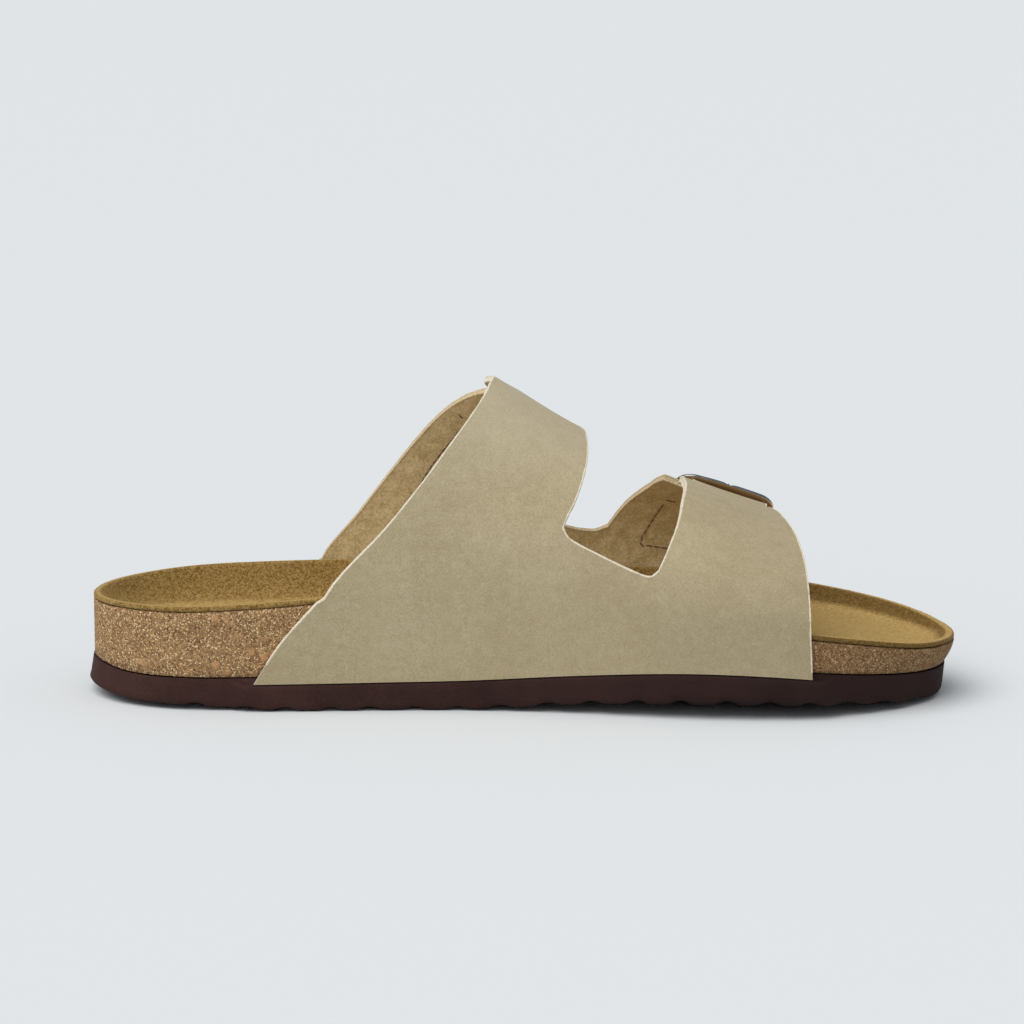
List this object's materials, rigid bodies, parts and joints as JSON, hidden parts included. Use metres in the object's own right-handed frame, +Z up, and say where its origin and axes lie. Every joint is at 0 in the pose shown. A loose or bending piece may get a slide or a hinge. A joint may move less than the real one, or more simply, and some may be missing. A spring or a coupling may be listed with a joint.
{
  "type": "two-strap sandal",
  "caption": "Open sandal on a contoured cork footbed with a foam outsole, broad nubuck straps over the instep and forefoot, and pin buckles on the outer side.",
  "frame": {"origin": "middle of the shoe's bounding box, on the floor plane of the sole", "axes": "+X from the heel to the toe, +Y to the outer side of the foot, +Z up"},
  "size_m": [0.2636, 0.1029, 0.0964],
  "materials": {
    "outsole_foam": "dark brown matt foam",
    "cork": "granular cork, sealed, matt",
    "suede": "ochre suede with a short nap",
    "nubuck": "taupe nubuck, felt lined, light cut edges",
    "tab_leather": "taupe nubuck",
    "buckle_metal": "dark antiqued metal"
  },
  "bodies": {
    "root": {"outsole": "outsole_foam", "cork_footbed": "cork", "footbed_lining": "suede", "upper": "nubuck", "buckle_frame_instep": "buckle_metal", "buckle_prong_instep": "buckle_metal", "buckle_tab_instep": "tab_leather", "buckle_frame_front": "buckle_metal", "buckle_prong_front": "buckle_metal", "buckle_tab_front": "tab_leather"}
  },
  "joints": []
}
